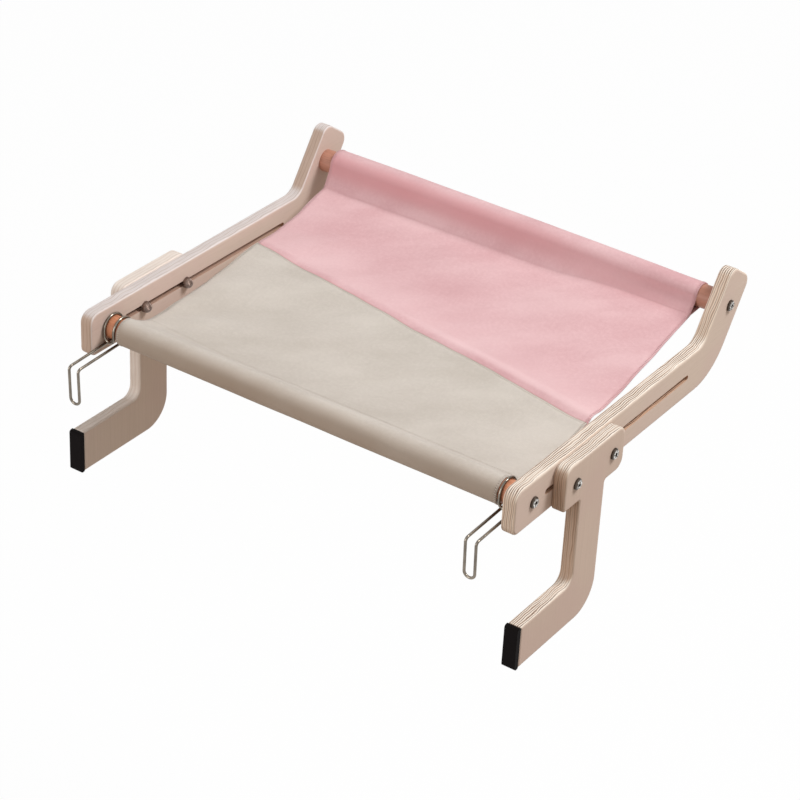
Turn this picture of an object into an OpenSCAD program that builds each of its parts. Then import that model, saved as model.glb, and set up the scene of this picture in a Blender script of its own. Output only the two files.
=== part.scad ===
// Cat perch that hooks over a window sill: a canvas sling on two dowels,
// held by two plywood side panels, with sliding plywood legs that lean on
// the wall below and two wire hooks that drop over the lip of the sill.
// X runs along the dowels, +Y points away from the wall, +Z is up.
// The origin is the middle of the front dowel's axis, on which both hooks turn.

/* [Side panels] */
// Distance between the inner faces of the two side panels
inner_width = 496; // [400:1:600]
// Thickness of the plywood of the panels and legs
ply_t = 15; // [12:0.5:20]
// Height of the straight strip of a panel
strip_h = 48; // [44:1:56]
// Length of strip in front of the front dowel's axis
front_len = 32; // [27:1:45]
// Distance from the front dowel's axis back to the inside of the bend
bend_reach = 317; // [300:1:360]
// Angle by which the rear end of a panel turns up
bend_angle = 56; // [45:1:62]
// Length of the turned-up end along its inner edge
arm_len = 85; // [80:1:110]
// Distance from the tip of the turned-up end down to the rear dowel's axis
rear_dowel_edge = 37; // [27:1:43]
// Radius of the inside of the bend
bend_r = 20; // [10:1:24]
// Radius of the upper corners at both ends of a panel
corner_r = 12; // [6:1:16]
// Radius to which the edges of the panels and legs are rounded over
round_r = 2.5; // [1:0.25:2.75]
// Radius of the lower front corner of a panel
toe_r = 8; // [4:1:12]
// Distance from the front dowel's axis to the front end of the slot
slot_front_y = 20; // [18:0.5:24]
// Length of the slot that the leg bolts slide in
slot_len = 269; // [240:1:270]

/* [Dowels] */
// Diameter of both dowels
dowel_d = 25; // [22:0.5:30]
// Diameter of the threaded inserts in the dowel ends
insert_d = 10; // [9:0.5:12]
// Length of the threaded inserts
insert_len = 18; // [14:1:24]
// Free depth of the dowel's hole behind an insert
insert_room_depth = 8; // [6:1:14]

/* [Legs] */
// Distance from the front dowel's axis to the front leg bolt
leg_bolt_y = 52; // [48:1:60]
// Distance between the two bolts of a leg
leg_bolt_gap = 67; // [60:1:80]
// Wood of the leg's head in front of its first and behind its last bolt
head_margin_len = 20; // [14:1:22]
// Distance of the stem's front edge behind the front bolt
stem_y = 9; // [4:1:12]
// Width of the upright stem
stem_w = 46; // [40:1:50]
// Height of the opening between the leg's head and its foot
leg_drop = 97; // [70:1:140]
// Height of the foot
foot_h = 48; // [40:1:60]
// Length of the foot in front of the stem
toe_len = 90; // [80:1:130]
// Outer radius where the stem turns into the foot
heel_r = 34; // [16:1:38]
// Inner radius where the stem turns into the foot
instep_r = 12; // [4:1:20]
// Radius of the upper corners and the rear lower corner of the leg's head
head_r = 12; // [6:1:14]
// Radius of the other small edges of a leg
edge_r = 3; // [1:0.5:4]
// Thickness of the rubber foot pads
pad_t = 6; // [4:0.5:10]
// Sliding gap between a panel and the leg or nuts on it
slide_gap = 0.2; // [0.1:0.05:0.4]

/* [Sling] */
// Gap between the sling's edges and the hooks beside them
sling_gap = 1.5; // [1:0.5:10]
// Thickness of the canvas
canvas_t = 1; // [0.8:0.1:1.6]
// Gap between a sleeve and its dowel
sleeve_gap = 0.3; // [0.2:0.1:0.6]
// Distance from the front dowel's axis to the stitched end of its sleeve
front_sleeve_reach = 38; // [28:1:42]
// Angle by which the front sleeve points below the line between the dowels
front_sleeve_angle = 23; // [10:1:35]
// Distance from the rear dowel's axis to the stitched end of its sleeve
rear_sleeve_reach = 31; // [28:1:42]
// Angle by which the rear sleeve points below the line between the dowels
rear_sleeve_angle = 28; // [10:1:35]
// Sag of the sling below the line between its two sleeve seams
sag_depth = 8; // [4:1:30]
// Place of the diagonal seam at the left edge, behind the front dowel's axis
seam_left_y = 222; // [180:1:250]
// Place of the diagonal seam at the right edge, behind the front dowel's axis
seam_right_y = 148; // [100:1:180]

/* [Sill hooks] */
// Diameter of the hook wire
wire_d = 3; // [2.5:0.1:4]
// Distance between the two strands of a hook
strand_pitch = 11.8; // [9:0.1:12.5]
// Distance from the dowel's axis to the hook's drop
hook_reach = 69; // [60:1:90]
// Length of the drop below the arms
hook_drop = 42; // [30:1:60]
// Angle by which the arms slope down towards the window
hook_tilt = 2; // [0:0.5:5]
// Radius of the bend between the arms and the drop
hook_bend_r = 4; // [3.5:0.5:6]
// Straight wire that runs down the front of the dowel after the eye
eye_tail_len = 4.5; // [1:0.5:5]
// Running gap between the eye and the dowel
eye_gap = 0.1; // [0.05:0.01:0.1]
// Gap between a hook and the panel beside it
hook_gap = 0.5; // [0.4:0.1:0.8]

/* [Fasteners] */
// Diameter of the bolt shanks
bolt_d = 6; // [5:0.5:6]
// Clearance all round a bolt in its hole or in the slot
bolt_gap = 0.25; // [0.15:0.05:0.4]
// Clearance all round a thread or an insert in its seat
thread_gap = 0.05; // [0.02:0.01:0.1]
// Diameter of the bolt heads
head_d = 12; // [11:0.5:13]
// Height of the bolt heads
head_t = 3; // [2.5:0.5:5]
// Rounded height of the bolt heads' rim
head_crown_h = 1.5; // [0.5:0.1:2]
// Distance across the flats of the hexagonal sockets
socket_w = 4; // [3:0.5:5]
// Depth of the hexagonal sockets
socket_depth = 2; // [1:0.1:2.2]
// Diameter of the domed nuts inside the panels
nut_d = 12; // [11:0.5:13]
// Height of the straight rim of a nut
nut_rim_h = 3; // [1:0.5:4]
// Height of a whole nut
nut_h = 8; // [7:0.5:9]
// Length of thread in a nut
nut_thread_len = 6; // [4:0.5:6]
// Length of thread in a dowel insert
insert_thread_len = 16; // [10:1:20]

/* [Hidden] */

// Steps of a rounded corner, of a wide bend and of a rounded edge
corner_steps = 10;
bend_steps = 20;
round_steps = 3;
// Steps of the sling's curve and of a sleeve's turn round its dowel
sag_steps = 20;
sleeve_steps = 40;
// Facets of curves, where a curve has any
$fn = 64;
// Radius from which a corner counts as a wide bend, and the smallest radius of any corner
wide_r = 16;
least_r = 0.3;
// Overrun of every cut past the face that it opens in
cut = 1;

// Places across the object, on the right-hand side
inner_x = inner_width / 2;
outer_x = inner_x + ply_t;
leg_x = outer_x + slide_gap;
leg_outer_x = leg_x + ply_t;

// Panel: directions along and square to the turned-up end, and its corners
arm_dir = [cos(bend_angle), sin(bend_angle)];
arm_out = [sin(bend_angle), -cos(bend_angle)];
half_strip = strip_h / 2;
bend_inner = [bend_reach, half_strip];
bend_outer = [bend_reach + strip_h * tan(bend_angle / 2), -half_strip];
arm_inner = bend_inner + arm_len * arm_dir;
arm_outer = arm_inner + strip_h * arm_out;
rear_axis = arm_inner - rear_dowel_edge * arm_dir + half_strip * arm_out;
slot_r = bolt_d / 2 + bolt_gap;

// Leg: its bolts, stem and foot
leg_bolts = [leg_bolt_y, leg_bolt_y + leg_bolt_gap];
head_front = leg_bolt_y - head_margin_len;
head_rear = leg_bolt_y + leg_bolt_gap + head_margin_len;
stem_front = leg_bolt_y + stem_y;
stem_rear = stem_front + stem_w;
foot_top = -half_strip - leg_drop;
foot_bottom = foot_top - foot_h;
foot_end = stem_front - toe_len;

// Sling: the line between the dowels, and the sleeve seams below it
span = norm(rear_axis);
span_angle = atan2(rear_axis[1], rear_axis[0]);
dowel_r = dowel_d / 2;
sleeve_in_r = dowel_r + sleeve_gap;
sleeve_out_r = sleeve_in_r + canvas_t;
front_seam = front_sleeve_reach * [cos(front_sleeve_angle), -sin(front_sleeve_angle)];
rear_seam = [span, 0] - rear_sleeve_reach * [cos(rear_sleeve_angle), sin(rear_sleeve_angle)];

// Hook: the radius of its eye and the middle between its strands
wire_r = wire_d / 2;
eye_r = dowel_r + eye_gap + wire_r;
half_pitch = strand_pitch / 2;
hook_x = inner_x - hook_gap - wire_r - half_pitch;
sling_w = 2 * (hook_x - half_pitch - wire_r - sling_gap);

// A vector of length one
function unit(v) = v / norm(v);

// Points of a corner at p between the points a and b, rounded with radius r in the given steps
function corner(a, p, b, r, steps) =
    let (
        to_a = unit(a - p),
        to_b = unit(b - p),
        half = acos(to_a * to_b) / 2,
        middle = p + unit(to_a + to_b) * r / sin(half),
        start = p + to_a * r / tan(half) - middle,
        stop = p + to_b * r / tan(half) - middle,
        from_angle = atan2(start[1], start[0]),
        raw_turn = atan2(stop[1], stop[0]) - from_angle,
        turn = raw_turn > 180 ? raw_turn - 360 : raw_turn < -180 ? raw_turn + 360 : raw_turn
    )
    [for (i = [0 : steps]) let (angle = from_angle + turn * i / steps)
        middle + r * [cos(angle), sin(angle)]];

// An anticlockwise outline whose corner i has the radius radii[i], drawn inwards by the inset
function rounded(points, radii, inset = 0) =
    let (
        count = len(points),
        before = [for (i = [0 : count - 1]) points[(i + count - 1) % count]],
        after = [for (i = [0 : count - 1]) points[(i + 1) % count]],
        way = [for (i = [0 : count - 1]) cross(points[i] - before[i], after[i] - points[i]) > 0 ? 1 : -1],
        drawn = [for (i = [0 : count - 1])
            let (
                to_a = unit(before[i] - points[i]),
                to_b = unit(after[i] - points[i])
            )
            points[i] + way[i] * unit(to_a + to_b) * inset / sin(acos(to_a * to_b) / 2)]
    )
    [for (i = [0 : count - 1])
        each corner(
            drawn[(i + count - 1) % count], drawn[i], drawn[(i + 1) % count],
            max(radii[i] - way[i] * inset, least_r),
            radii[i] < wide_r ? corner_steps : bend_steps
        )];

// Depth of the sling below the line between its sleeve seams at the share along of its run
function sling_dip(along) = sag_depth * 4 * along * (1 - along);

// The sling's middle line, from inside the front sleeve to inside the rear one
function sling_line() =
    concat(
        [sleeve_in_r * unit(front_seam)],
        [for (i = [0 : sag_steps]) let (along = i / sag_steps)
            front_seam + (rear_seam - front_seam) * along - [0, sling_dip(along)]],
        [[span, 0] + sleeve_in_r * unit(rear_seam - [span, 0])]
    );

// Outline of a sleeve: a circle round the dowel, drawn out to a tip at the seam
function sleeve_outline(radius, seam) =
    let (
        tangent = acos(sleeve_out_r / norm(seam)),
        start = atan2(seam[1], seam[0]) + tangent,
        turn = 360 - 2 * tangent
    )
    concat(
        [seam * radius / sleeve_out_r],
        [for (i = [0 : sleeve_steps]) let (angle = start + turn * i / sleeve_steps)
            radius * [cos(angle), sin(angle)]]
    );

// Turns a flat outline, drawn as Y and Z, into a slab from X = 0 to thickness
module slab(thickness) {
    rotate([90, 0, 90]) linear_extrude(thickness) children();
}

// The same slab for a piece of plywood: a plain core in a rim with rounded edges
module ply_slab(points, radii) {
    quarter = [for (i = [0 : round_steps]) 90 * i / round_steps];
    depths = concat(
        [for (angle = quarter) round_r * (1 - cos(angle))],
        [for (angle = quarter) ply_t - round_r * (1 - sin(angle))]
    );
    insets = concat(
        [for (angle = quarter) round_r * (1 - sin(angle))],
        [for (angle = quarter) round_r * (1 - cos(angle))]
    );
    rings = [for (inset = insets) rounded(points, radii, inset)];
    n = len(rings[0]);
    total = len(rings) * n;
    slab(ply_t) polygon(rings[0]);
    polyhedron(
        points = [for (i = [0 : len(rings) - 1]) each [for (p = rings[i]) [depths[i], p[0], p[1]]]],
        faces = [for (base = [0 : n : total - n]) each [for (i = [0 : n - 1])
            let (
                next = (base + n) % total,
                j = (i + 1) % n
            )
            each [[base + i, next + i, next + j], [base + i, next + j, base + j]]]]
    );
}

// A round bar or hole along +X from the given point
module bar(at, radius, length) {
    translate(at) rotate([0, 90, 0]) cylinder(r = radius, h = length);
}

// The left-hand copy of a right-hand piece
module left_hand() {
    mirror([1, 0, 0]) children();
}

// Side panel with its two bolt holes and the slot for the leg bolts
module side_panel() {
    points = [
        [-front_len, -half_strip], bend_outer, arm_outer,
        arm_inner, bend_inner, [-front_len, half_strip]
    ];
    radii = [toe_r, bend_r + strip_h, corner_r, corner_r, bend_r, corner_r];
    slot_ends = [slot_front_y + slot_r, slot_front_y + slot_len - slot_r];
    difference() {
        translate([inner_x, 0, 0]) ply_slab(points, radii);
        for (axis = [[0, 0], rear_axis])
            bar([inner_x - cut, axis[0], axis[1]], slot_r, ply_t + 2 * cut);
        for (y = slot_ends)
            bar([inner_x - cut, y, 0], slot_r, ply_t + 2 * cut);
        translate([inner_x - cut, slot_ends[0], -slot_r])
            cube([ply_t + 2 * cut, slot_ends[1] - slot_ends[0], 2 * slot_r]);
    }
}

// Dowel between the panels, drilled at both ends for its inserts
module dowel() {
    hole_depth = insert_len + insert_room_depth;
    difference() {
        bar([-inner_x, 0, 0], dowel_r, inner_width);
        for (x = [-inner_x - cut, inner_x - hole_depth])
            bar([x, 0, 0], insert_d / 2 + thread_gap, hole_depth + cut);
    }
}

// Threaded insert, flush with the right-hand end of a dowel
module insert() {
    difference() {
        bar([inner_x - insert_len, 0, 0], insert_d / 2, insert_len);
        bar([inner_x - insert_len - cut, 0, 0], bolt_d / 2 + thread_gap, insert_len + 2 * cut);
    }
}

// Button-head bolt along X: its head sits outside x = 0 and its shank inside
module bolt(shank) {
    socket_r = socket_w / (2 * cos(30));
    difference() {
        union() {
            rotate([0, 90, 0]) rotate_extrude() polygon([
                [0, 0], [head_d / 2, 0], [head_d / 2, head_t - head_crown_h],
                [head_d / 2 - head_crown_h, head_t], [0, head_t]
            ]);
            bar([-shank, 0, 0], bolt_d / 2, shank);
        }
        translate([head_t - socket_depth, 0, 0]) rotate([0, 90, 0])
            cylinder(r = socket_r, h = socket_depth + cut, $fn = 6);
    }
}

// Domed nut on the inner face of a panel, its dome towards the sling
module nut() {
    dome_h = nut_h - nut_rim_h;
    dome_r = (dome_h * dome_h + nut_d * nut_d / 4) / (2 * dome_h);
    dome_span = asin(nut_d / 2 / dome_r);
    dome = [for (i = [0 : corner_steps]) let (angle = dome_span * (1 - i / corner_steps))
        [dome_r * sin(angle), nut_h - dome_r + dome_r * cos(angle)]];
    difference() {
        rotate([0, -90, 0]) rotate_extrude() polygon(concat([[0, 0], [nut_d / 2, 0]], dome));
        bar([-nut_thread_len - thread_gap, 0, 0], bolt_d / 2 + thread_gap, nut_thread_len + thread_gap + cut);
    }
}

// Leg: a head bolted to the panel, an upright stem and a foot towards the wall
module leg() {
    points = [
        [head_front, -half_strip], [stem_front, -half_strip], [stem_front, foot_top],
        [foot_end, foot_top], [foot_end, foot_bottom], [stem_rear, foot_bottom],
        [stem_rear, -half_strip], [head_rear, -half_strip],
        [head_rear, half_strip], [head_front, half_strip]
    ];
    radii = [edge_r, edge_r, instep_r, edge_r / 2, edge_r / 2, heel_r, edge_r, head_r, head_r, head_r];
    difference() {
        translate([leg_x, 0, 0]) ply_slab(points, radii);
        for (y = leg_bolts)
            bar([leg_x - cut, y, 0], slot_r, ply_t + 2 * cut);
    }
}

// Rubber pad glued to the end of a foot, which leans on the wall
module foot_pad() {
    points = [
        [foot_end - pad_t, foot_bottom], [foot_end, foot_bottom],
        [foot_end, foot_top], [foot_end - pad_t, foot_top]
    ];
    translate([leg_x, 0, 0]) slab(ply_t)
        polygon(rounded(points, [edge_r, edge_r / 2, edge_r / 2, edge_r]));
}

// Both sleeves as solid bars, drawn round the dowels with the given radius
module sleeve_bars(radius, length) {
    slab(length) polygon(sleeve_outline(radius, front_seam));
    translate([0, span, 0])
        slab(length) polygon(sleeve_outline(radius, rear_seam - [span, 0]));
}

// The whole sling, in its own frame: X across, Y along the line between the dowels
module sling_cloth() {
    middle = sling_line();
    half = [0, canvas_t / 2];
    upper = [for (p = middle) p + half];
    lower = [for (i = [len(middle) - 1 : -1 : 0]) middle[i] - half];
    translate([-sling_w / 2, 0, 0]) difference() {
        union() {
            sleeve_bars(sleeve_out_r, sling_w);
            slab(sling_w) polygon(concat(upper, lower));
        }
        translate([-cut, 0, 0]) sleeve_bars(sleeve_in_r, sling_w + 2 * cut);
    }
}

// Plan of the sling in front of its diagonal seam
module front_of_seam() {
    half_w = sling_w / 2 + cut;
    slope = (seam_right_y - seam_left_y) / sling_w;
    reach = sleeve_out_r + sag_depth + front_sleeve_reach;
    translate([0, 0, -reach]) linear_extrude(2 * reach) polygon([
        [-half_w, -reach], [half_w, -reach],
        [half_w, seam_right_y + slope * cut], [-half_w, seam_left_y - slope * cut]
    ]);
}

// One strand of a hook: drop, arm below the dowel, eye round its back and over it
module hook_strand(x) {
    arm_end = hook_reach - hook_bend_r;
    translate([x, 0, 0]) {
        rotate([90, 0, 90]) rotate([0, 0, -90]) rotate_extrude(angle = 270)
            translate([eye_r, 0]) circle(wire_r);
        translate([0, 0, -eye_r]) rotate([90, 0, 0]) cylinder(r = wire_r, h = arm_end);
        translate([0, -arm_end, -eye_r - hook_bend_r]) rotate([90, 0, 90]) rotate([0, 0, 90])
            rotate_extrude(angle = 90) translate([hook_bend_r, 0]) circle(wire_r);
        translate([0, -hook_reach, -eye_r - hook_drop + half_pitch])
            cylinder(r = wire_r, h = hook_drop - half_pitch - hook_bend_r);
        translate([0, -eye_r, -eye_tail_len]) cylinder(r = wire_r, h = eye_tail_len);
    }
}

// Half turn of wire that joins the two strands from below, its ends at the given point
module wire_turn(at) {
    translate(at) rotate([90, 0, 0]) rotate([0, 0, 180])
        rotate_extrude(angle = 180) translate([half_pitch, 0]) circle(wire_r);
}

// Hook: one closed loop of wire with an open eye
module hook() {
    translate([hook_x, 0, 0]) rotate([hook_tilt, 0, 0]) {
        for (x = [-half_pitch, half_pitch])
            hook_strand(x);
        wire_turn([0, -hook_reach, -eye_r - hook_drop + half_pitch]);
        wire_turn([0, -eye_r, -eye_tail_len]);
    }
}

module left_side_panel() { color("#D9C5B6") left_hand() side_panel(); }
module right_side_panel() { color("#D9C5B6") side_panel(); }
module front_dowel() { color("#B5714A") dowel(); }
module rear_dowel() { color("#B5714A") translate([0, rear_axis[0], rear_axis[1]]) dowel(); }

module left_front_insert() { color("#B8A468") left_hand() insert(); }
module right_front_insert() { color("#B8A468") insert(); }
module left_rear_insert() { translate([0, rear_axis[0], rear_axis[1]]) left_front_insert(); }
module right_rear_insert() { translate([0, rear_axis[0], rear_axis[1]]) right_front_insert(); }

module right_front_dowel_bolt() {
    color("#C4C4C6") translate([outer_x, 0, 0]) bolt(ply_t + insert_thread_len);
}
module left_front_dowel_bolt() { left_hand() right_front_dowel_bolt(); }
module right_rear_dowel_bolt() { translate([0, rear_axis[0], rear_axis[1]]) right_front_dowel_bolt(); }
module left_rear_dowel_bolt() { translate([0, rear_axis[0], rear_axis[1]]) left_front_dowel_bolt(); }

module front_canvas() {
    color("#D6CDC2") rotate([span_angle, 0, 0]) intersection() {
        sling_cloth();
        front_of_seam();
    }
}
module rear_canvas() {
    color("#E6B9BE") rotate([span_angle, 0, 0]) difference() {
        sling_cloth();
        front_of_seam();
    }
}

module right_leg() { color("#D9C5B6") leg(); }
module left_leg() { left_hand() right_leg(); }
module right_foot_pad() { color("#26211F") foot_pad(); }
module left_foot_pad() { left_hand() right_foot_pad(); }

module leg_bolt(i) {
    color("#C4C4C6") translate([leg_outer_x, leg_bolts[i], 0])
        bolt(leg_outer_x - inner_x + slide_gap + nut_thread_len);
}
module right_leg_front_bolt() { leg_bolt(0); }
module right_leg_rear_bolt() { leg_bolt(1); }
module left_leg_front_bolt() { left_hand() leg_bolt(0); }
module left_leg_rear_bolt() { left_hand() leg_bolt(1); }

module leg_nut(i) {
    color("#8C7F74") translate([inner_x - slide_gap, leg_bolts[i], 0]) nut();
}
module right_leg_front_nut() { leg_nut(0); }
module right_leg_rear_nut() { leg_nut(1); }
module left_leg_front_nut() { left_hand() leg_nut(0); }
module left_leg_rear_nut() { left_hand() leg_nut(1); }

module right_sill_hook() { color("#B9B4AE") hook(); }
module left_sill_hook() { left_hand() right_sill_hook(); }

left_side_panel();
right_side_panel();
front_dowel();
rear_dowel();
left_front_insert();
right_front_insert();
left_rear_insert();
right_rear_insert();
left_front_dowel_bolt();
right_front_dowel_bolt();
left_rear_dowel_bolt();
right_rear_dowel_bolt();
front_canvas();
rear_canvas();
left_leg();
right_leg();
left_foot_pad();
right_foot_pad();
left_leg_front_bolt();
right_leg_front_bolt();
left_leg_rear_bolt();
right_leg_rear_bolt();
left_leg_front_nut();
right_leg_front_nut();
left_leg_rear_nut();
right_leg_rear_nut();
left_sill_hook();
right_sill_hook();
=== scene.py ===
import math

import bmesh
import bpy
import numpy as np
from mathutils import Matrix, Vector, noise


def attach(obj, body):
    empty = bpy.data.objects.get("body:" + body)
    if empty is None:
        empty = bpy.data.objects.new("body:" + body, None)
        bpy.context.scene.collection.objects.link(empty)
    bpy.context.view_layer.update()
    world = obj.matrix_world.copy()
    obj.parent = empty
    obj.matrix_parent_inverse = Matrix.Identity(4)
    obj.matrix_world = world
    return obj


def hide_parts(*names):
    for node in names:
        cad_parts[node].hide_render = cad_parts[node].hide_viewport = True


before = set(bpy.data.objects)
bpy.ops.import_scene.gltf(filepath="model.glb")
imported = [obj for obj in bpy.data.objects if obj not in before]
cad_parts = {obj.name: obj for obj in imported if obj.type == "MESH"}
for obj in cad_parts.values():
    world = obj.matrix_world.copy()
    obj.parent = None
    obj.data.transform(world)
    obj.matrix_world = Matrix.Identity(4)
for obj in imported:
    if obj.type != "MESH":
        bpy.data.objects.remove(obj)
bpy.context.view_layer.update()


# Camera: a long lens above the perch's right front corner, which looks down on
# the sling and along both side panels.
def put(name, data):
    """Adds a mesh, a lamp or the camera to the scene."""
    added = bpy.data.objects.new(name, data)
    bpy.context.scene.collection.objects.link(added)
    return added


camera = put("camera", bpy.data.cameras.new("camera"))
camera.data.sensor_width = 36
camera.data.lens = 115.35
camera_place = Vector((1.24721, -1.71816, 1.31881))
camera_right = Vector((0.81704, 0.57480, 0.04529))
camera_up = Vector((-0.33335, 0.40684, 0.85050))
camera_axes = Matrix((camera_right, camera_up, camera_right.cross(camera_up)))
camera.matrix_world = Matrix.Translation(camera_place) @ camera_axes.transposed().to_4x4()
bpy.context.scene.camera = camera


# Side panels: two boards of 15 mm birch plywood, cut with a bent-up rear end and
# a long slot, their edges rounded over with a router, then whitewashed.
PLY_THICKNESS = 0.015
PLIES = 7
PLY_WANDER = 0.0050  # how far the glue lines stray along the board
PLY_RIPPLE = 0.0032  # and in their shorter waves
PANEL_INNER_X = 0.248
SLOT_ENDS_Y = (0.020, 0.289)
SLOT_HALF_HEIGHT = 0.0035
SLOT_RIM = 0.001  # width over which the painted shade in the slot fades out


def shade(red, green, blue):
    """A colour as the eye names it, 0 to 255, made linear for the shader."""
    channels = (red / 255, green / 255, blue / 255)
    return tuple(
        c / 12.92 if c <= 0.04045 else ((c + 0.055) / 1.055) ** 2.4 for c in channels
    ) + (1.0,)


class Tone:
    """A socket of a finish; arithmetic on it adds Math nodes."""

    def __init__(self, finish, socket):
        self.finish, self.socket = finish, socket

    def math(self, operation, first, second=0.0):
        return self.finish.math(operation, first, second)

    def __add__(self, other):
        return self.math("ADD", self, other)

    def __radd__(self, other):
        return self.math("ADD", other, self)

    def __sub__(self, other):
        return self.math("SUBTRACT", self, other)

    def __rsub__(self, other):
        return self.math("SUBTRACT", other, self)

    def __mul__(self, other):
        return self.math("MULTIPLY", self, other)

    def __rmul__(self, other):
        return self.math("MULTIPLY", other, self)

    def __truediv__(self, other):
        return self.math("DIVIDE", self, other)

    def __rtruediv__(self, other):
        return self.math("DIVIDE", other, self)

    def __mod__(self, other):
        return self.math("FLOORED_MODULO", self, other)

    def __rmod__(self, other):
        return self.math("FLOORED_MODULO", other, self)

    def __gt__(self, other):
        return self.math("GREATER_THAN", self, other)

    def __lt__(self, other):
        return self.math("LESS_THAN", self, other)

    def __abs__(self):
        return self.math("ABSOLUTE", self)


class Finish:
    """The nodes of one material, with constants on its shader's own sockets."""

    def __init__(self, name, constants, owner=None):
        self.material = owner or bpy.data.materials.new(name)
        self.material.use_nodes = True
        self.tree = self.material.node_tree
        self.shader = self.tree.nodes["Background" if owner else "Principled BSDF"]
        self.paint(constants)

    def paint(self, inputs):
        """Feeds the shader's sockets with values or tones."""
        for socket, value in inputs.items():
            self.feed(self.shader.inputs[socket], value)

    def feed(self, socket, value):
        """Links a tone to a socket, or sets the socket to a value."""
        if isinstance(value, Tone):
            self.tree.links.new(value.socket, socket)
        else:
            socket.default_value = value

    def node(self, kind, settings=None, inputs=None, out=0):
        """Adds a node: its settings first, then its sockets; returns one output."""
        made = self.tree.nodes.new(kind)
        for setting, value in (settings or {}).items():
            setattr(made, setting, value)
        for socket, value in (inputs or {}).items():
            self.feed(made.inputs[socket], value)
        return Tone(self, made.outputs[out])

    def place(self):
        """Where a point of the piece is, in metres, whatever pose the perch is in."""
        return self.node("ShaderNodeTexCoord", out="Object")

    def math(self, operation, first, second=0.0):
        return self.node("ShaderNodeMath", {"operation": operation}, {0: first, 1: second})

    def axes(self, vector):
        """The three parts of a vector, one tone each."""
        split = self.node("ShaderNodeSeparateXYZ", inputs={0: vector})
        return [Tone(self, socket) for socket in split.socket.node.outputs]

    def stretched(self, vector, per_metre):
        """A vector with each of its parts times a number of its own."""
        settings = {"operation": "MULTIPLY"}
        return self.node("ShaderNodeVectorMath", settings, {0: vector, 1: per_metre})

    def mottle(self, vector, per_metre, detail=2.0, roughness=0.5):
        """Noise from 0 to 1 with so many cells in a metre along each axis."""
        inputs = {
            "Vector": self.stretched(vector, per_metre),
            "Scale": 1.0,
            "Detail": detail,
            "Roughness": roughness,
        }
        return self.node("ShaderNodeTexNoise", inputs=inputs)

    def rise(self, value, low, high):
        """0 at low, 1 at high, and a smooth step between them; low may be the larger."""
        settings = {"interpolation_type": "SMOOTHSTEP"}
        inputs = {"Value": value, "From Min": low, "From Max": high}
        return self.node("ShaderNodeMapRange", settings, inputs)

    def blend(self, factor, first, second, how="MIX"):
        """A colour: the first where the factor is 0, and the second where it is 1."""
        settings = {"data_type": "RGBA", "blend_type": how}
        inputs = {0: factor, 6: first, 7: second}
        return self.node("ShaderNodeMix", settings, inputs, out=2)

    def relief(self, height, depth, strength=1.0):
        """A Bump node that stands the height, from 0 to 1, proud by depth metres."""
        inputs = {"Height": height, "Distance": depth, "Strength": strength}
        return self.node("ShaderNodeBump", inputs=inputs)


def plywood(name, inner_x, grain, glue_shows, tints, slot=None):
    """Whitewashed birch plywood, its plies stacked along X from inner_x outwards.
    The wash hides the glue lines more on some boards than on others. The tints are
    those of the board's faces and edges, and a darker one, painted shade, on the edges
    that face along Y. The walls of its slot, from one y to the other, are darkened as
    painted shade."""
    face_tint, edge_tint, end_shade_tint = (shade(*tint) for tint in tints)
    ply = Finish(name, {"Specular IOR Level": 0.3})
    where = ply.place()
    x, y, z = ply.axes(where)
    toward = ply.axes(ply.node("ShaderNodeTexCoord", out="Normal"))[1]
    depth = abs(x) - inner_x
    inside = ply.math("MINIMUM", depth, PLY_THICKNESS - depth)
    warp = (ply.mottle(where, (45, 30, 18)) - 0.5) * PLY_WANDER
    warp = warp + (ply.mottle(where, (90, 50, 36), 1.0) - 0.5) * PLY_RIPPLE
    count = (depth + warp * ply.rise(inside, 0.0003, 0.0030)) / (PLY_THICKNESS / PLIES)
    crossing = ply.rise(abs((count * 0.5) % 1 - 0.5), 0.30, 0.20)
    glue = ply.rise(abs(count % 1 - 0.5), 0.26, 0.42)
    faded = ply.rise(ply.mottle(where, (160, 22, 22)), 0.28, 0.56)
    sawn = ply.rise(inside, 0.0001, 0.0006)
    end_on = ply.rise(abs(toward), 0.5, 0.9)
    glue = glue * (faded * 0.6 + 0.4) * sawn * (1 - end_on * 0.45)

    across, along = (520, 9) if grain == "Y" else (9, 520)
    fibre = ply.mottle(where, (300, along, across), 4.0, 0.6)
    pores = ply.mottle(where, (900, along * 6, across * 3), 1.0)
    pores = ply.rise(pores, 0.62, 0.74)
    cloud = ply.mottle(where, (14, 9, 9))
    veneer = ply.blend(fibre, shade(229, 212, 198), shade(246, 230, 218))
    veneer = ply.blend(ply.rise(cloud, 0.42, 0.62) * 0.5, veneer, shade(236, 214, 206))
    veneer = ply.blend(pores * 0.15, veneer, shade(184, 160, 142))
    veneer = ply.blend(1.0, veneer, face_tint, "MULTIPLY")

    rings = ply.mottle(where, (500, 60, 60), 3.0)
    long_ply = ply.blend(rings, shade(236, 224, 213), shade(252, 245, 238))
    cross_ply = ply.blend(rings, shade(210, 190, 174), shade(236, 221, 209))
    edge = ply.blend(crossing * (0.35 + 0.45 * glue_shows), long_ply, cross_ply)
    edge = ply.blend(glue * glue_shows, edge, shade(100, 66, 46))
    edge = ply.blend(1.0, edge, edge_tint, "MULTIPLY")
    # Edges that face along Y are darker: painted shade.
    edge = ply.blend(end_on, edge, end_shade_tint, "MULTIPLY")
    if slot:
        # The walls of the slot are darkened: painted shade in the recess.
        slot_shade = ply.rise(abs(z), SLOT_HALF_HEIGHT + SLOT_RIM, SLOT_HALF_HEIGHT)
        slot_shade = slot_shade * ((y > slot[0] - SLOT_RIM) * (y < slot[1] + SLOT_RIM))
        edge = ply.blend(slot_shade, edge, shade(228, 200, 180), "MULTIPLY")
    height = fibre * 0.2 + rings * sawn * 0.1 - glue * 1.2
    ply.paint({
        "Base Color": ply.blend(sawn, veneer, edge),
        "Roughness": 0.50 + fibre * 0.14,
        "Normal": ply.relief(height, 0.00022),
    })
    return ply.material


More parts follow.
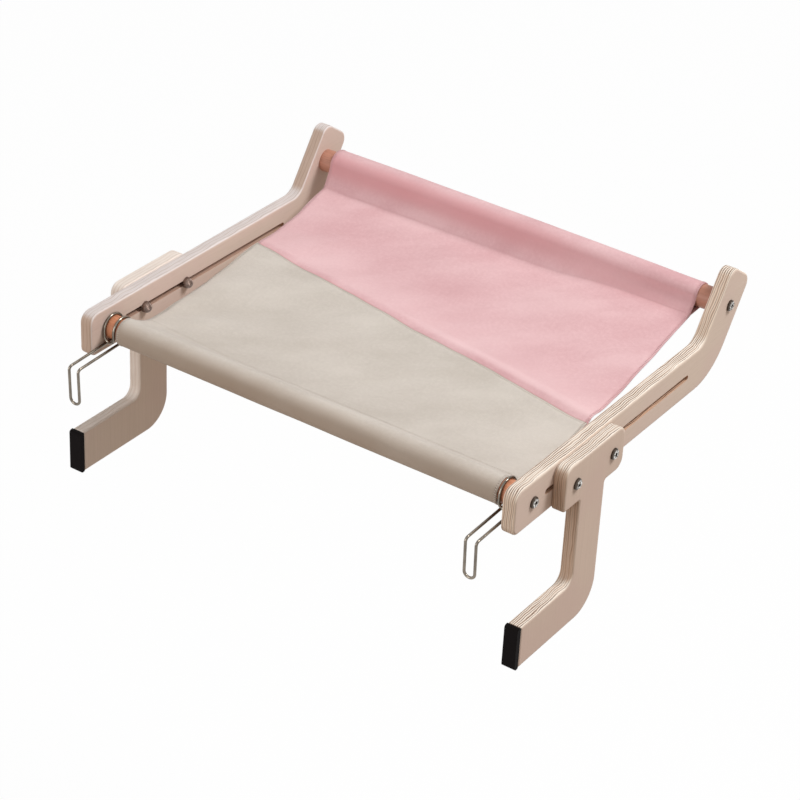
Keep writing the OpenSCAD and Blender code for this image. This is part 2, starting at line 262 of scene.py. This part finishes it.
def board(node, body, name, finish):
    """A smooth-shaded copy of a plywood piece of the frame, which stays in its place."""
    shape = bmesh.new()
    shape.from_mesh(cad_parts[node].data)
    bmesh.ops.remove_doubles(shape, verts=shape.verts, dist=1e-5)
    mesh = bpy.data.meshes.new(name)
    shape.to_mesh(mesh)
    shape.free()
    split_normals = mesh.attributes.get("custom_normal")
    if split_normals:
        mesh.attributes.remove(split_normals)
    mesh.shade_smooth()
    mesh.set_sharp_from_angle(angle=math.radians(40))
    mesh.materials.clear()
    mesh.materials.append(finish)
    piece = put(name, mesh)
    weighted = piece.modifiers.new("flat faces stay flat", "WEIGHTED_NORMAL")
    weighted.keep_sharp = True
    weighted.weight = 80
    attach(piece, body)
    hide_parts(node)


# Each board's tints: faces, edges, and a darker one for the edges that face along Y, which is
# painted shade.
for side, glue_shows, tints in (
    ("left", 0.24, ((233, 226, 224), (237, 236, 242), (228, 208, 190))),
    ("right", 1.0, ((239, 234, 230), (255, 252, 247), (250, 240, 232))),
):
    wood = plywood(
        f"{side}_panel_plywood", PANEL_INNER_X, "Y", glue_shows, tints, SLOT_ENDS_Y
    )
    board(f"{side}_side_panel", "frame", f"{side}_panel_board", wood)


# Dowels: two turned hardwood rods, oiled a warm orange brown, which the canvas
# sleeves slide over. Each end is drilled for a threaded insert.
def dress(node, finish):
    """Gives a piece of the frame its finish."""
    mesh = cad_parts[node].data
    mesh.materials.clear()
    mesh.materials.append(finish)


# The rear dowel is given duller, darker colours than the front one: painted shade.
for end, dark, light in (
    ("front", (176, 104, 70), (226, 158, 120)),
    ("rear", (163, 108, 86), (203, 148, 128)),
):
    rod = Finish(f"{end}_dowel_wood", {"Specular IOR Level": 0.45})
    where = rod.place()
    streak = rod.mottle(where, (9, 420, 420), 4.0, 0.6)
    pores = rod.rise(rod.mottle(where, (70, 1900, 1900), 1.0), 0.60, 0.72)
    oiled = rod.blend(streak, shade(*dark), shade(*light))
    rod.paint({
        "Base Color": rod.blend(pores * 0.4, oiled, shade(122, 74, 50)),
        "Roughness": 0.40 + streak * 0.15,
        "Normal": rod.relief(streak * 0.4 - pores * 0.6, 0.00015),
    })
    dress(f"{end}_dowel", rod.material)


# Threaded inserts: short brass bushes pressed into the dowel ends, which take the
# dowel bolts. They are seen only with a panel off.
brass = Finish("insert_brass", {"Metallic": 1.0})
turned = brass.mottle(brass.place(), (2500, 60, 60))
brass.paint({
    "Base Color": brass.blend(turned, shade(176, 148, 84), shade(214, 188, 122)),
    "Roughness": 0.28 + turned * 0.15,
    "Normal": brass.relief(turned, 0.00005),
})
for end in ("front", "rear"):
    for side in ("left", "right"):
        dress(f"{side}_{end}_insert", brass.material)


# Sling: two sheets of cotton canvas, sand beige in front and pink behind, lapped
# and sewn together on a slant. Each is folded round its dowel and sewn to itself.
REAR_DOWEL_Y = 0.36374
REAR_DOWEL_Z = 0.05037
SPAN = math.hypot(REAR_DOWEL_Y, REAR_DOWEL_Z)
CHORD = Vector((0, REAR_DOWEL_Y / SPAN, REAR_DOWEL_Z / SPAN))
SQUARE = Vector((0, -CHORD.z, CHORD.y))
HALF_WIDTH = 0.2308
CLOTH_THICKNESS = 0.0009
TOP = CLOTH_THICKNESS / 2
SLEEVE_RADIUS = 0.0133  # of the middle of the cloth, about the dowel's axis
SAG = 0.008
SEAM_MIDDLE = 0.1822  # how far behind the front dowel's axis the seam is at x = 0
SEAM_SLOPE = (0.1475 - 0.2195) / 0.46
LAP = 0.012
ALLOWANCE = 0.008  # the hidden strip by which a sleeve is sewn down
ALLOWANCE_UNDER = 0.0011  # how far that strip lies under the open cloth
COLUMNS = 93
SLEEVE_ROWS = 74
OPEN_ROWS = 44
TURN_STEPS = 40
FOLD_RUN, FOLD_RISE = 0.83, 0.55  # the way in which the soft folds run
FAN_X, FAN_S = -0.25, 0.02  # the front left corner, from which folds fan out


def seam_at(x):
    """Where the beige edge of the slanting seam lies: its s, which runs along the
    chord in metres, from the front dowel's axis to the rear one's."""
    return SEAM_MIDDLE + SEAM_SLOPE * x


def pink_edge_at(x):
    """Where the pink sheet ends, hidden under the beige one."""
    return seam_at(x) - LAP


def between(value, low, high):
    """0 below low, 1 above high, and a smooth step between them."""
    share = min(max((value - low) / (high - low), 0.0), 1.0)
    return share * share * (3 - 2 * share)


def swell(value, middle, breadth):
    """1 at the middle, and less on both sides of it."""
    return math.exp(-(((value - middle) / breadth) ** 2))


def tip_at(x, rear):
    """Where a sleeve is sewn: how far from its dowel's axis, and how far below."""
    if rear:
        near_end = between(x, 0.05, 0.15)
        return np.array((0.027 - 0.0045 * near_end, -0.0145 + 0.0045 * near_end))
    return np.array((0.035, -0.0149))


def sag_at(x, s):
    """Height of the sling's middle line over the line between the dowels."""
    front, rear = tip_at(x, False), tip_at(x, True)
    share = (s - front[0]) / (SPAN - rear[0] - front[0])
    return front[1] + (rear[1] - front[1]) * share - 4 * SAG * share * (1 - share)


def pull_at(x, s):
    """The left edge is pulled up tight towards its corner, and the right one hangs
    behind the seam."""
    left = 0.0065 * swell(s, 0.03, 0.115) + 0.0026 * swell(s, 0.16, 0.04)
    right = 0.0018 * swell(s, 0.21, 0.03) - 0.0015 * swell(s, 0.145, 0.04)
    return left * between(-x, 0.09, 0.23) - right * between(x, 0.12, 0.23)


def crease_at(x, s):
    """How much the bend at each sleeve seam is rounded off: widely at the front."""
    front = max(1 - abs(s - tip_at(x, False)[0]) / 0.009, 0.0)
    rear = max(1 - abs(SPAN - s - tip_at(x, True)[0]) / 0.0035, 0.0)
    return 0.0012 * front * front + 0.0005 * rear * rear


def wrinkle_at(x, s):
    """Soft waves of the slack cloth along its folds, a fan of them from the front
    left corner, a swelling by the seam, wider at the left, a slight curl of the
    side edges, and small puckers along the sleeve seams."""
    from_tip = min(s - tip_at(x, False)[0], SPAN - s - tip_at(x, True)[0])
    slack = between(from_tip, 0.0, 0.05)
    along = FOLD_RUN * x + FOLD_RISE * s
    across = FOLD_RUN * s - FOLD_RISE * x
    wave = 0.0
    for long_way, short_way, start, height in (
        (5, 12, 0.3, 0.0045), (8, 21, 7.7, 0.0032), (22, 50, 4.1, 0.0010),
    ):
        wave += noise.noise(Vector((along * long_way, across * short_way, start))) * height
    reach = math.hypot(x - FAN_X, s - FAN_S)
    fan = math.sin(math.atan2(s - FAN_S, x - FAN_X) * 11 + 0.6)
    wave += 0.0026 * fan * between(reach, 0.02, 0.07) * swell(reach, 0.0, 0.15)
    wave += 0.0020 * swell(s, seam_at(x), 0.032 + 0.045 * between(-x, 0.08, 0.22))
    edge = max(abs(x) - 0.19, 0.0) / 0.04
    curl = 0.0012 * edge * edge * math.sin(s * 40 + (1.3 if x > 0 else 0.2))
    pucker = swell(from_tip, 0.0, 0.009)
    pucker *= noise.noise(Vector((x * 110, s * 30, 9.0))) * 0.0005
    return slack * (wave + curl) + pucker


def on_sling(x, s, lift):
    """A point of the sling's open part, lifted square to it."""
    height = sag_at(x, s) + wrinkle_at(x, s) + pull_at(x, s) + crease_at(x, s) + lift
    return Vector((x, 0, 0)) + CHORD * s + SQUARE * height


def ease(x, angle, rear):
    """How far a sleeve stands off its dowel: the front one hangs a little below it,
    and the rear one stands up from it, most at the left."""
    across = x / HALF_WIDTH
    if rear:
        stand = 0.00085 * (1 - across) + 0.0005 * (1 - across * across)
        return stand * (1 + math.sin(angle))
    return 0.0009 * (1 - math.sin(angle))


def way_along(line):
    """How far each point lies along a line of points."""
    return np.r_[0, np.cumsum(np.linalg.norm(np.diff(line, axis=0), axis=1))]


def point_along(line, steps, far):
    """The point or points at that way along a line of points."""
    return np.stack([np.interp(far, steps, line[:, k]) for k in (0, 1)], axis=-1)


def sleeve_path(x, rear):
    """Line of a sleeve from its hidden seam allowance round the dowel to the tip."""
    tip = tip_at(x, rear)
    spread = math.acos(SLEEVE_RADIUS / math.hypot(*tip))
    low = math.atan2(tip[1], tip[0]) - spread
    under = tip + np.array((0.0, -ALLOWANCE_UNDER))
    corners = [under + np.array((ALLOWANCE, -0.0008)), under]
    turn = 2 * math.pi - 2 * spread
    for i in range(TURN_STEPS + 1):
        angle = low - turn * i / TURN_STEPS
        radius = SLEEVE_RADIUS + ease(x, angle, rear)
        radius += noise.noise(Vector((x * 17, angle * 1.5, 2.0 + rear))) * 0.0003
        corners.append(radius * np.array((math.cos(angle), math.sin(angle))))
    top, hollow = corners[-1], (0.0016 if rear else 0.0004)
    hollow *= 1 + 0.8 * noise.noise(Vector((x * 12, 6.0, 2.0)))
    for share in (0.15, 0.3, 0.45, 0.6, 0.75, 0.9, 1.0):
        dip = 6.75 * hollow * share * (1 - share) ** 2
        corners.append(top + (tip - top) * share - dip * np.array((0.65, 0.76)))
    line = np.array(corners)
    steps = way_along(line)
    return point_along(line, steps, np.linspace(0, steps[-1], SLEEVE_ROWS))


def cloth_lines(edge_at, rear):
    """Lines of points across the sheet, each from the sleeve to the sheet's edge at
    the seam: how far along, how high, and whether it is in the open part."""
    lines = []
    for i in range(COLUMNS):
        x = -HALF_WIDTH + 2 * HALF_WIDTH * i / (COLUMNS - 1)
        reach = SPAN - edge_at(x) if rear else edge_at(x)
        open_part = np.linspace(tip_at(x, rear)[0], reach, OPEN_ROWS)[1:]
        line = [(s, h, False) for s, h in sleeve_path(x, rear)]
        line += [(s, 0.0, True) for s in open_part]
        lines.append((x, line))
    return lines


def canvas(name, colours, thread, shade_band, lighter_right):
    """Plain-woven cotton canvas; its weave map runs along the warp and the weft.
    A band of painted shade darkens the sleeve. The four places of the band are where
    it starts, is full, fades and ends on the map; the last argument is the share of
    that painted shade which gives way to painted light towards the right end."""
    cloth = Finish(name, {
        "Specular IOR Level": 0.2,
        "Sheen Weight": 0.25,
        "Sheen Roughness": 0.5,
    })
    weave = cloth.node("ShaderNodeUVMap", {"uv_map": "weave"})
    u, v, _ = cloth.axes(weave)
    yarn_pitch = 0.00075
    column, row = u / yarn_pitch, v / yarn_pitch
    warp = abs(column % 1 - 0.5)
    weft = abs(row % 1 - 0.5)
    over = (((column - column % 1) + (row - row % 1)) * 0.5) % 1 > 0.25
    yarn = (1 - over) * (0.5 - warp) + over * (0.5 - weft)
    slubs = cloth.mottle(weave, (1100, 26, 1), 3.0) * 0.5
    slubs = slubs + cloth.mottle(weave, (26, 1100, 1), 3.0) * 0.5
    nap = cloth.mottle(weave, (260, 260, 1), 4.0, 0.65)
    cloud = cloth.mottle(weave, (13, 13, 1), 3.0)

    x, y, z = cloth.axes(cloth.place())
    behind = y * CHORD.y + z * CHORD.z - SEAM_MIDDLE - x * SEAM_SLOPE
    slanted = cloth.node("ShaderNodeCombineXYZ", inputs={
        0: x * FOLD_RUN + y * FOLD_RISE, 1: y * FOLD_RUN - x * FOLD_RISE,
    })
    # Streaks along the folds, lighter and darker: painted light and shade.
    streak = cloth.mottle(slanted, (6, 17, 1), 4.0, 0.55)
    # A band of painted shade on the sleeve, which gives way to painted light towards the right
    # end.
    sleeve_shade = cloth.rise(v, shade_band[0], shade_band[1]) * cloth.rise(v, shade_band[3], shade_band[2])
    lit_right = cloth.rise(x, -0.08, 0.20) * lighter_right
    # A thin line of painted shade along the seam.
    seam_shade = cloth.rise(behind, -0.0012, 0.0002) * cloth.rise(behind, 0.0026, 0.0012)
    # Painted highlights on the fold behind the seam, a broad band and a narrow one.
    seam_highlight = cloth.rise(behind, 0.003, 0.012) * cloth.rise(behind, 0.080, 0.018)
    ridge_highlight = cloth.rise(behind, 0.005, 0.010) * cloth.rise(behind, 0.022, 0.012)
    ridge_highlight = ridge_highlight * cloth.rise(x, -0.03, 0.05)

    shadow, main, light, painted_light_and_shade = (shade(*c) for c in colours)
    tone = cloth.blend(slubs, shadow, light)
    for factor, colour in (
        (0.55, main),
        (cloth.rise(nap, 0.35, 0.75) * 0.35, light),
        (cloth.rise(cloud, 0.40, 0.75) * 0.15, shadow),
        (cloth.rise(streak, 0.46, 0.66) * 0.38, light),
        (cloth.rise(streak, 0.50, 0.32) * 0.34, shadow),
        (seam_highlight * 0.38 + ridge_highlight * 0.32, light),
        (sleeve_shade * (0.55 + cloud * 0.6) * (1 - lit_right), painted_light_and_shade),
        (sleeve_shade * lit_right * 0.3, light),
        (seam_shade * 0.7, painted_light_and_shade),
    ):
        tone = cloth.blend(factor, tone, colour)
    cloth.paint({
        "Base Color": tone,
        "Roughness": 0.82 + nap * 0.12,
        "Normal": cloth.relief(yarn * 1.2 + slubs + nap * 0.8, 0.00022, 0.8),
    })

    sewing = Finish(name + "_thread", {"Specular IOR Level": 0.3, "Sheen Weight": 0.2})
    twist = sewing.mottle(sewing.place(), (2600, 2600, 2600), 1.0)
    sewing.paint({
        "Base Color": sewing.blend(twist, shadow, shade(*thread)),
        "Roughness": 0.6 + twist * 0.2,
        "Normal": sewing.relief(twist, 0.0001),
    })
    return cloth.material, sewing.material


def sheet_piece(name, lines, rear, finish, lift_at):
    """The cloth itself, a grid of the lines, with its weave map in metres."""
    points, lengths = [], []
    for x, line in lines:
        tip = tip_at(x, rear)[0]
        flat, before = 0.0, None
        for s, height, is_open in line:
            place = SPAN - s if rear else s
            if is_open:
                point = on_sling(x, place, lift_at(x, place))
            else:
                height += wrinkle_at(x, place) * swell(s, tip, 0.010)
                height += pull_at(x, place) * min(max(s / tip, 0.0), 1.0) ** 2
                height += crease_at(x, place)
                point = Vector((x, 0, 0)) + CHORD * place + SQUARE * height
            flat += (point - before).length if before is not None else 0.0
            before = point
            points.append(point)
            lengths.append(flat)
    rows = len(lines[0][1])
    faces = []
    for i in range(len(lines) - 1):
        for j in range(rows - 1):
            here, beside = i * rows + j, (i + 1) * rows + j
            corners = (here, beside, beside + 1, here + 1)
            faces.append(corners if rear else corners[::-1])
    mesh = bpy.data.meshes.new(name)
    mesh.from_pydata(points, [], faces)
    weave = mesh.uv_layers.new(name="weave")
    for loop in mesh.loops:
        at = loop.vertex_index
        weave.data[loop.index].uv = (points[at].x, lengths[at])
    mesh.shade_smooth()
    mesh.materials.append(finish)
    piece = put(name, mesh)
    thick = piece.modifiers.new("thickness", "SOLIDIFY")
    thick.thickness = CLOTH_THICKNESS
    thick.offset = 0.0
    return piece


def threads(name, lengths_of_thread, radius, finish):
    """Sewing thread: a thin tube with pinched ends along each line of points."""
    points, faces = [], []
    sides = 5
    for line in lengths_of_thread:
        first = len(points)
        for i, point in enumerate(line):
            ahead = line[min(i + 1, len(line) - 1)] - line[max(i - 1, 0)]
            ahead.normalize()
            out = ahead.orthogonal().normalized()
            beside = ahead.cross(out)
            thin = radius * (0.45 if i in (0, len(line) - 1) else 1.0)
            for k in range(sides):
                turn = 2 * math.pi * k / sides
                points.append(point + thin * (math.cos(turn) * out + math.sin(turn) * beside))
        for i in range(len(line) - 1):
            for k in range(sides):
                a, b = first + i * sides + k, first + i * sides + (k + 1) % sides
                faces.append((a, b, b + sides, a + sides))
        faces.append([first + k for k in reversed(range(sides))])
        faces.append([first + (len(line) - 1) * sides + k for k in range(sides)])
    mesh = bpy.data.meshes.new(name)
    mesh.from_pydata(points, [], faces)
    mesh.shade_smooth()
    mesh.materials.append(finish)
    return put(name, mesh)


STITCH_PITCH = 0.0032
STITCH_FROM, STITCH_TO = 0.10, 0.88
STITCH_ARCH = ((0, -0.0002), (0.2, 0.00025), (0.5, 0.00035), (0.8, 0.00025), (1, -0.0002))
STITCH_RADIUS = 0.00024
STITCHED_HALF_WIDTH = HALF_WIDTH - 0.004


def stitch_row(place_at, lift_at):
    """Stitches from side to side, each a short arch of thread over the cloth."""
    width = 2 * STITCHED_HALF_WIDTH
    count = int(width / STITCH_PITCH)
    row = []
    for i in range(count):
        start = -STITCHED_HALF_WIDTH + width * (i + STITCH_FROM) / count
        stop = -STITCHED_HALF_WIDTH + width * (i + STITCH_TO) / count
        arch = []
        for share, rise in STITCH_ARCH:
            x = start + (stop - start) * share
            arch.append(on_sling(x, place_at(x), lift_at(x) + rise))
        row.append(arch)
    return row


OVERLOCK_PITCH = 0.0022
OVERLOCK_RADIUS = 0.0003
OVERLOCK_LOOP = (
    (-1, -0.4, 0.0034), (-1, -0.2, 0.0014), (0, 0, -0.0004), (1, 0.2, 0.0014), (1, 0.4, 0.0034),
)


def overlock(lines, rear, lift_at):
    """Loops of overlock thread round both raw side edges of a sheet. Each has five
    points: on which face it lies, how far along the loop, and how far inboard."""
    loops = []
    for side, (x, line) in ((1, lines[-1]), (-1, lines[0])):
        places = []
        for s, height, is_open in line:
            place = SPAN - s if rear else s
            if is_open:
                height = on_sling(x, place, lift_at(x, place)).dot(SQUARE)
            places.append(np.array((place, height)))
        places = np.array(places)
        steps = way_along(places)
        count = int(steps[-1] / OVERLOCK_PITCH)
        for i in range(count):
            loop = []
            for face, slant, inboard in OVERLOCK_LOOP:
                far = steps[-1] * (i + 0.5 + slant) / count
                run = point_along(places, steps, far + 0.0005)
                run = run - point_along(places, steps, far - 0.0005)
                run = run / max(np.linalg.norm(run), 1e-9)
                out = np.array((-run[1], run[0]))
                at = point_along(places, steps, far) + out * (TOP + 0.0002) * face
                point = Vector((x - side * inboard, 0, 0)) + CHORD * at[0] + SQUARE * at[1]
                loop.append(point)
            loops.append(loop)
    return loops


def beige_lift(x, s):
    """The beige edge lies on top of the pink one, its hem bent down onto it."""
    before = seam_at(x) - s
    hem = 0.0006 * (1 - between(before, 0.0, 0.005))
    return 0.0012 * (1 - between(before, 0.004, 0.018)) - hem


def pink_lift(x, s):
    """The pink edge lies under the beige one, and bulges in a fold just behind it,
    which is narrow in the middle and wider and higher to the right."""
    behind = s - seam_at(x)
    top = 0.006 + 0.004 * between(x, -0.10, 0.02)
    slope = 0.0050 if behind < top else 0.008 + 0.005 * between(x, 0.02, 0.18)
    fold = 0.0016 + 0.0012 * noise.noise(Vector((x * 14, 3.0, 1.0)))
    fold += 0.0022 * between(x, -0.02, 0.1)
    return fold * swell(behind, top, slope) - 0.0009


def front_sewing_at(x):
    """Where the front sleeve is sewn to its own cloth."""
    return tip_at(x, False)[0] + 0.001


def rear_sewing_at(x):
    """Where the rear sleeve is sewn to its own cloth."""
    return SPAN - tip_at(x, True)[0] - 0.001


def lap_sewing_at(x):
    """Where the beige sheet is sewn onto the pink one."""
    return seam_at(x) - 0.0025


def on_top(x):
    """Height of the thread over the middle of the open cloth."""
    return TOP


def underneath(x):
    """Height of the thread where it comes out under the seam allowance."""
    return -TOP - ALLOWANCE_UNDER


def on_lap(x):
    """Height of the thread over the beige sheet's lifted edge."""
    return TOP + beige_lift(x, lap_sewing_at(x))


# Each sheet's colours: darker, main, lighter, and that of its painted shade on the sleeve and
# along the seam.
BEIGE = ((188, 178, 166), (205, 196, 187), (226, 218, 209), (170, 149, 131))
PINK = ((206, 150, 155), (223, 176, 180), (244, 208, 210), (227, 166, 170))
beige_cloth, beige_thread = canvas(
    "beige_canvas", BEIGE, (232, 224, 214), (0.042, 0.056, 0.070, 0.096), 0.12
)
pink_cloth, pink_thread = canvas(
    "pink_canvas", PINK, (240, 204, 206), (0.080, 0.094, 0.104, 0.122), 0.5
)

front_lines = cloth_lines(seam_at, False)
rear_lines = cloth_lines(pink_edge_at, True)
front_sheet = sheet_piece("front_canvas_cloth", front_lines, False, beige_cloth, beige_lift)
rear_sheet = sheet_piece("rear_canvas_cloth", rear_lines, True, pink_cloth, pink_lift)

front_rows = stitch_row(front_sewing_at, on_top)
front_rows += stitch_row(front_sewing_at, underneath)
front_rows += stitch_row(lap_sewing_at, on_lap)
front_stitches = threads("front_canvas_stitches", front_rows, STITCH_RADIUS, beige_thread)
rear_rows = stitch_row(rear_sewing_at, on_top)
rear_rows += stitch_row(rear_sewing_at, underneath)
rear_stitches = threads("rear_canvas_stitches", rear_rows, STITCH_RADIUS, pink_thread)
front_edges = overlock(front_lines, False, beige_lift)
front_overlock = threads("front_canvas_overlock", front_edges, OVERLOCK_RADIUS, beige_thread)
rear_edges = overlock(rear_lines, True, pink_lift)
rear_overlock = threads("rear_canvas_overlock", rear_edges, OVERLOCK_RADIUS, pink_thread)

for piece, slot in (
    (front_sheet, "beige_canvas"),
    (front_stitches, "beige_canvas"),
    (front_overlock, "beige_canvas"),
    (rear_sheet, "pink_canvas"),
    (rear_stitches, "pink_canvas"),
    (rear_overlock, "pink_canvas"),
):
    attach(piece, "frame")
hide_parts("front_canvas")
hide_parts("rear_canvas")

# The lengths of the cut sheets are those in the middle of the sling. At its longer
# side each sheet is longer, because the seam runs on a slant.
FRONT_SLEEVE, REAR_SLEEVE = (
    float(way_along(sleeve_path(0, rear))[-1]) for rear in (False, True)
)
FRONT_LENGTH = FRONT_SLEEVE + SEAM_MIDDLE - tip_at(0, False)[0]
REAR_LENGTH = REAR_SLEEVE + SPAN - SEAM_MIDDLE - tip_at(0, True)[0] + LAP


# Sill hooks: each is one closed loop of bright steel wire, bent with an open eye
# that snaps over the front dowel and a drop that goes behind the sill's lip.
def steel(name, dark, light, roughness, marks_and_glints_scale, axles=()):
    """Bare metal with fine drawn or turned marks, mottled dark and bright: partly the
    marks, partly painted reflection. Bolt heads get a painted highlight, a bright
    speckled ring round the socket, at 1.4 to 5.2 mm from the nearest axle, whose y and z are
    given."""
    metal = Finish(name, {"Metallic": 1.0})
    where = metal.place()
    marks_and_glints = metal.mottle(where, marks_and_glints_scale, 3.0, 0.6)
    smudge = metal.mottle(where, (45, 45, 45), 3.0)
    # Dark and bright patches along the marks: partly the marks, partly painted reflection.
    colour = metal.blend(marks_and_glints * 0.6 + smudge * 0.4, shade(*dark), shade(*light))
    if axles:
        flat = metal.stretched(where, (0, 1, 1))
        near = 1.0
        for y, z in axles:
            inputs = {0: flat, 1: (0, y, z)}
            away = metal.node("ShaderNodeVectorMath", {"operation": "DISTANCE"}, inputs, out=1)
            near = metal.math("MINIMUM", away, near)
        # A bright speckled ring round each bolt's socket: painted highlight.
        glint_specks = metal.rise(metal.mottle(where, (500, 600, 600)), 0.44, 0.56)
        painted_light_and_shade = metal.rise(near, 0.0014, 0.0020) * (1 - metal.rise(near, 0.0040, 0.0052))
        colour = metal.blend(painted_light_and_shade * glint_specks, colour, shade(232, 229, 224))
    metal.paint({
        "Base Color": colour,
        "Roughness": roughness + smudge * 0.12,
        "Normal": metal.relief(marks_and_glints, 0.00002),
    })
    return metal.material


hook_steel = steel("hook_steel", (34, 28, 23), (174, 163, 149), 0.10, (260, 26, 80))
for side in ("left", "right"):
    dress(f"{side}_sill_hook", hook_steel)


# Dowel bolts: M6 button-head bolts with a hexagonal socket, screwed through the
# panels into the inserts.
BOLT_DARK, BOLT_LIGHT = (24, 18, 14), (112, 100, 90)
BOLT_ROUGHNESS = 0.22
BOLT_MARKS_AND_GLINTS = (200, 900, 900)
dowel_bolt_steel = steel(
    "dowel_bolt_steel", BOLT_DARK, BOLT_LIGHT, BOLT_ROUGHNESS, BOLT_MARKS_AND_GLINTS,
    axles=((0.0, 0.0), (REAR_DOWEL_Y, REAR_DOWEL_Z)),
)
for end in ("front", "rear"):
    for side in ("left", "right"):
        dress(f"{side}_{end}_dowel_bolt", dowel_bolt_steel)


# Legs: two more boards of the same plywood, sawn to an L with a head, which slide
# along the slots so that their feet reach the wall.
LEG_INNER_X = 0.2632
# The left leg's face tint is the palest: painted light, which lifts its inner face where the
# sling shades it.
for side, glue_shows, tints in (
    ("left", 0.10, ((250, 250, 250), (250, 247, 246), (246, 243, 241))),
    ("right", 0.9, ((231, 223, 218), (255, 252, 247), (216, 198, 186))),
):
    wood = plywood(f"{side}_leg_plywood", LEG_INNER_X, "Z", glue_shows, tints)
    board(f"{side}_leg", f"{side}_leg", f"{side}_leg_board", wood)


# Leg bolts and nuts: each leg is clamped by two of the same bolts, which pass
# through the slot into domed nuts of darker plated steel inside the panel.
FRONT_BOLT_Y = 0.052
BOLT_SPACING = 0.067
NUT_RIBS = 28
leg_bolt_steel = steel(
    "leg_bolt_steel", BOLT_DARK, BOLT_LIGHT, BOLT_ROUGHNESS, BOLT_MARKS_AND_GLINTS,
    axles=((FRONT_BOLT_Y, 0.0), (FRONT_BOLT_Y + BOLT_SPACING, 0.0)),
)
nut_steel = Finish("nut_steel", {"Metallic": 1.0})
where = nut_steel.place()
_, y, z = nut_steel.axes(where)
beside = (y - (FRONT_BOLT_Y - BOLT_SPACING / 2)) % BOLT_SPACING - BOLT_SPACING / 2
turn = nut_steel.math("ARCTAN2", z, beside)
ribs = abs((turn * (NUT_RIBS / (2 * math.pi))) % 1 - 0.5) * 2
tarnish = nut_steel.mottle(where, (300, 300, 300), 3.0)
patina = nut_steel.blend(tarnish, shade(84, 66, 58), shade(132, 112, 102))
nut_steel.paint({
    # The ribs' edges are lighter: painted highlight along the ribs.
    "Base Color": nut_steel.blend(ribs * 0.5, patina, shade(164, 146, 136)),
    "Roughness": 0.30 + tarnish * 0.2,
    "Normal": nut_steel.relief(ribs, 0.0003),
})
for side in ("left", "right"):
    for end in ("front", "rear"):
        dress(f"{side}_leg_{end}_bolt", leg_bolt_steel)
        dress(f"{side}_leg_{end}_nut", nut_steel.material)


# Foot pads: black rubber glued to the ends of the feet, so that they don't slip
# on the wall or mark it.
rubber = Finish("pad_rubber", {"Specular IOR Level": 0.06})
where = rubber.place()
pebble = rubber.mottle(where, (1400, 1400, 1400))
dust = rubber.mottle(where, (60, 60, 60), 3.0)
rubber.paint({
    "Base Color": rubber.blend(dust, shade(10, 6, 6), shade(20, 15, 15)),
    "Roughness": 0.55 + pebble * 0.2,
    "Normal": rubber.relief(pebble, 0.00012),
})
for side in ("left", "right"):
    dress(f"{side}_foot_pad", rubber.material)


# Studio: a plain white floor far below, as under a window sill, soft lamps and a
# white surround. None of it belongs to the perch.
FLOOR_Z = -0.75
FLOOR_REACH = 9
WORLD_LEVEL = 0.40


def straight_rays(finish):
    """1 where the eye, a mirror or glass sees the finish, and 0 for its light."""
    rays = finish.node("ShaderNodeLightPath", out="Is Camera Ray")
    glossy = Tone(finish, rays.socket.node.outputs["Is Glossy Ray"])
    clear = Tone(finish, rays.socket.node.outputs["Is Transmission Ray"])
    return rays + glossy + clear


def lamp(name, at, size, power):
    """A square soft box aimed at the middle of the sling."""
    light = bpy.data.lights.new(name, "AREA")
    light.size = size
    light.energy = power
    holder = put(name, light)
    holder.location = at
    aim = Vector((0, 0.15, 0)) - Vector(at)
    holder.rotation_euler = aim.to_track_quat("-Z", "Y").to_euler()


floor_corners = [
    (x * FLOOR_REACH, y * FLOOR_REACH, FLOOR_Z) for x, y in ((-1, -1), (1, -1), (1, 1), (-1, 1))
]
floor_mesh = bpy.data.meshes.new("floor")
floor_mesh.from_pydata(floor_corners, [], [(0, 1, 2, 3)])
floor = put("floor", floor_mesh)
paint = Finish("floor_paint", {"Roughness": 0.9, "Specular IOR Level": 0.1})
seen = straight_rays(paint)
cloud = paint.mottle(paint.place(), (0.8, 0.8, 0.8))
warm = paint.blend(cloud, shade(164, 147, 130), shade(174, 156, 138))
paint.paint({"Base Color": paint.blend(seen, warm, shade(236, 236, 236))})
glow = paint.node("ShaderNodeEmission", inputs={"Color": (1, 1, 1, 1), "Strength": 1.0})
white = paint.node("ShaderNodeMixShader", inputs={
    0: seen * 0.97, 1: Tone(paint, paint.shader.outputs[0]), 2: glow,
})
paint.tree.links.new(white.socket, paint.tree.nodes["Material Output"].inputs["Surface"])
floor_mesh.materials.append(paint.material)

world = bpy.data.worlds.new("surround")
bpy.context.scene.world = world
sky = Finish("surround", {"Color": (1, 1, 1, 1)}, world)
seen = straight_rays(sky)
sky.paint({
    "Color": sky.blend(seen, (1.0, 0.97, 0.93, 1.0), (1.0, 1.0, 1.0, 1.0)),
    "Strength": WORLD_LEVEL + seen * (1 - WORLD_LEVEL),
})
lamp("key", (1.75, 1.45, 2.85), 1.1, 96)
lamp("fill", (-0.70, -2.00, 0.70), 1.4, 20)
bpy.context.scene.view_settings.view_transform = "Standard"
